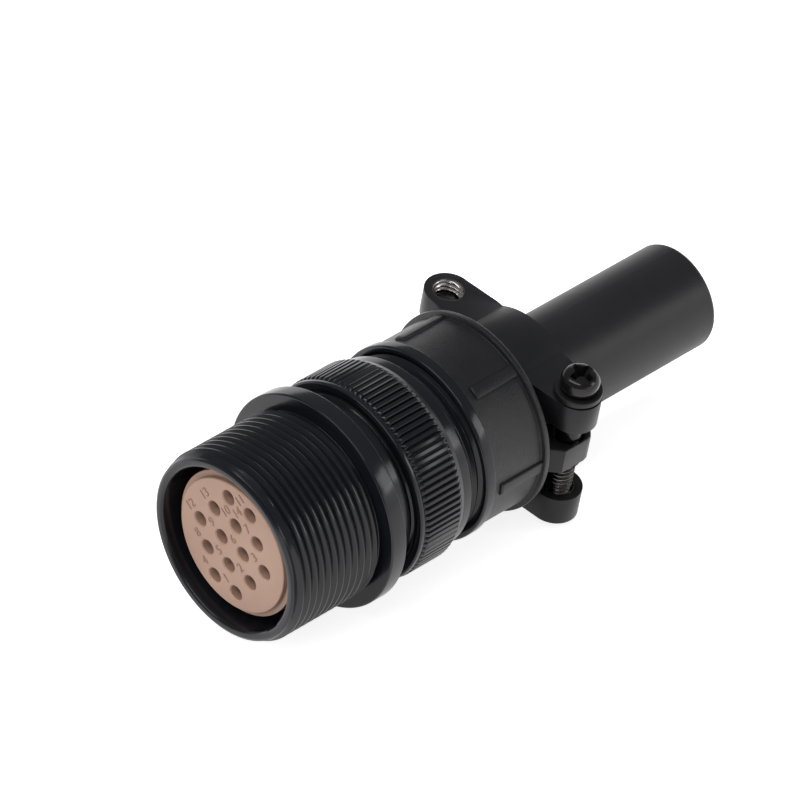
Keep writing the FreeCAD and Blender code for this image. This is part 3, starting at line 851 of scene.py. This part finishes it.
# a glow holds what the camera sees, then what polish mirrors at the back and the share of it left at the front
studio = {
    "floorZ": -0.01805, "floorHalf": 6.0, "wallRadius": 2.6, "wallHeight": 0.75, "wallSlices": 48,
    "paper": (0.72, 0.7, 0.71), "paperRoughness": 0.9, "paperSpecular": 0.1, "fadeFrom": -1.2, "fadeTo": 0.2,
    "floorGlow": (0.84, 0.62, 1.0), "wallGlow": (0.72, 1.1, 0.1), "ambient": 0.22, "lampsAimAt": (0.04, 0, 0),
}


def paperFinish(name, glow):
    seenGlow, mirroredGlow, frontShare = glow
    material = bpy.data.materials.new(name)
    material.use_nodes = True
    nodes = material.node_tree.nodes
    link = material.node_tree.links.new
    paper = nodes["Principled BSDF"]
    paper.inputs["Base Color"].default_value = (*studio["paper"], 1)
    paper.inputs["Roughness"].default_value = studio["paperRoughness"]
    paper.inputs["Specular IOR Level"].default_value = studio["paperSpecular"]
    paper.inputs["Emission Color"].default_value = (1, 1, 1, 1)
    path = nodes.new("ShaderNodeLightPath")
    seen = nodes.new("ShaderNodeMath")
    seen.operation = "MULTIPLY"
    seen.inputs[1].default_value = seenGlow
    place = nodes.new("ShaderNodeTexCoord")
    split = nodes.new("ShaderNodeSeparateXYZ")
    mirrored = nodes.new("ShaderNodeMapRange")
    mirrored.inputs["From Min"].default_value = studio["fadeFrom"]
    mirrored.inputs["From Max"].default_value = studio["fadeTo"]
    mirrored.inputs["To Min"].default_value = mirroredGlow * frontShare
    mirrored.inputs["To Max"].default_value = mirroredGlow
    total = nodes.new("ShaderNodeMath")
    total.operation = "MULTIPLY_ADD"
    link(place.outputs["Object"], split.inputs[0])
    link(split.outputs["X"], mirrored.inputs["Value"])
    link(mirrored.outputs[0], total.inputs[1])
    link(path.outputs["Is Camera Ray"], seen.inputs[0])
    link(path.outputs["Is Glossy Ray"], total.inputs[0])
    link(seen.outputs[0], total.inputs[2])
    link(total.outputs[0], paper.inputs["Emission Strength"])
    return material


half, level = studio["floorHalf"], studio["floorZ"]
floorMesh = bpy.data.meshes.new("floor")
floorMesh.from_pydata([(-half, -half, level), (half, -half, level), (half, half, level), (-half, half, level)],
                      [], [(0, 1, 2, 3)])
floorMesh.materials.append(paperFinish("floorPaper", studio["floorGlow"]))
floor = placed("floor", floorMesh)

bm = bmesh.new()
rows = [[bm.verts.new((studio["wallRadius"] * math.cos(a), studio["wallRadius"] * math.sin(a), z))
         for z in (level, studio["wallHeight"])] for a in fullTurn(studio["wallSlices"])]
bridgeRows(bm, rows, closedLoop=False)
wallMesh = plainMesh(bm, "backdrop")
wallMesh.materials.append(paperFinish("backdropPaper", studio["wallGlow"]))
backdrop = placed("backdrop", wallMesh)

lamps = (
    {"name": "topBox", "place": (0.05, 0.1, 1.2), "size": (0.9, 0.9), "watts": 13, "mirrored": False},
    {"name": "frontBox", "place": (-1.0, 0.05, 0.5), "size": (0.5, 0.5), "watts": 4, "mirrored": False},
    {"name": "crestStrip", "place": (-0.6, -0.1, 1.0), "size": (1.3, 0.22), "watts": 4.6, "mirrored": True},
    {"name": "keyPanel", "place": (0.6, -0.72, 0.36), "size": (0.3, 0.3), "watts": 1.0, "mirrored": True},
)
for spec in lamps:
    lamp = bpy.data.lights.new(spec["name"], "AREA")
    lamp.shape = "RECTANGLE"
    lamp.size, lamp.size_y = spec["size"]
    lamp.energy = spec["watts"]
    aim = Vector(studio["lampsAimAt"]) - Vector(spec["place"])
    holder = placed(spec["name"], lamp)
    holder.location = spec["place"]
    holder.rotation_euler = aim.to_track_quat("-Z", "Y").to_euler()
    holder.visible_glossy = spec["mirrored"]

world = bpy.data.worlds.new("studio")
world.use_nodes = True
sky = world.node_tree.nodes["Background"]
sky.inputs["Color"].default_value = (1, 1, 1, 1)
path = world.node_tree.nodes.new("ShaderNodeLightPath")
glow = world.node_tree.nodes.new("ShaderNodeMapRange")  # white to the camera, dim to everything else
glow.inputs["To Min"].default_value = studio["ambient"]
glow.inputs["To Max"].default_value = 1.0
world.node_tree.links.new(path.outputs["Is Camera Ray"], glow.inputs["Value"])
world.node_tree.links.new(glow.outputs[0], sky.inputs["Strength"])
bpy.context.scene.world = world
bpy.context.scene.view_settings.view_transform = "Standard"
print("camera, floor and light set")
